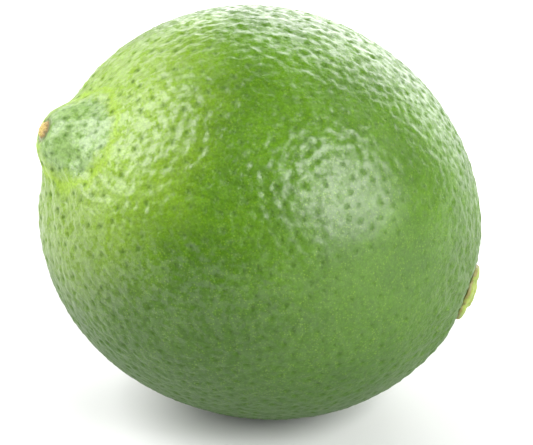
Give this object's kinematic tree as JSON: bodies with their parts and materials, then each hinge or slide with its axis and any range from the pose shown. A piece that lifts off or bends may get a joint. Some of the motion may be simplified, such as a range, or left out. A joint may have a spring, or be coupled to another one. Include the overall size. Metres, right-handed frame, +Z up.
{
  "type": "lime",
  "caption": "Whole round lime with a short nipple and a dry scar at one end, pitted rind, and a small lobed calyx at the other, lying on its side.",
  "frame": {"origin": "middle of the object's box in X and Y, on the surface that it rests on", "axes": "+X from the nipple towards the stem end, along the longest side of the box; +Z up, off the flat spot that it rests on; the fruit's own axis lies in the XZ plane with the nipple end 24.5 degrees up"},
  "size_m": [0.0586, 0.0542, 0.0544],
  "materials": {
    "rind": "waxy pitted green citrus rind, satin gloss",
    "sepals": "matt yellow-green plant tissue, brown at its broken stalk"
  },
  "bodies": {
    "root": {"fruit": "rind", "calyx": "sepals"}
  },
  "joints": []
}
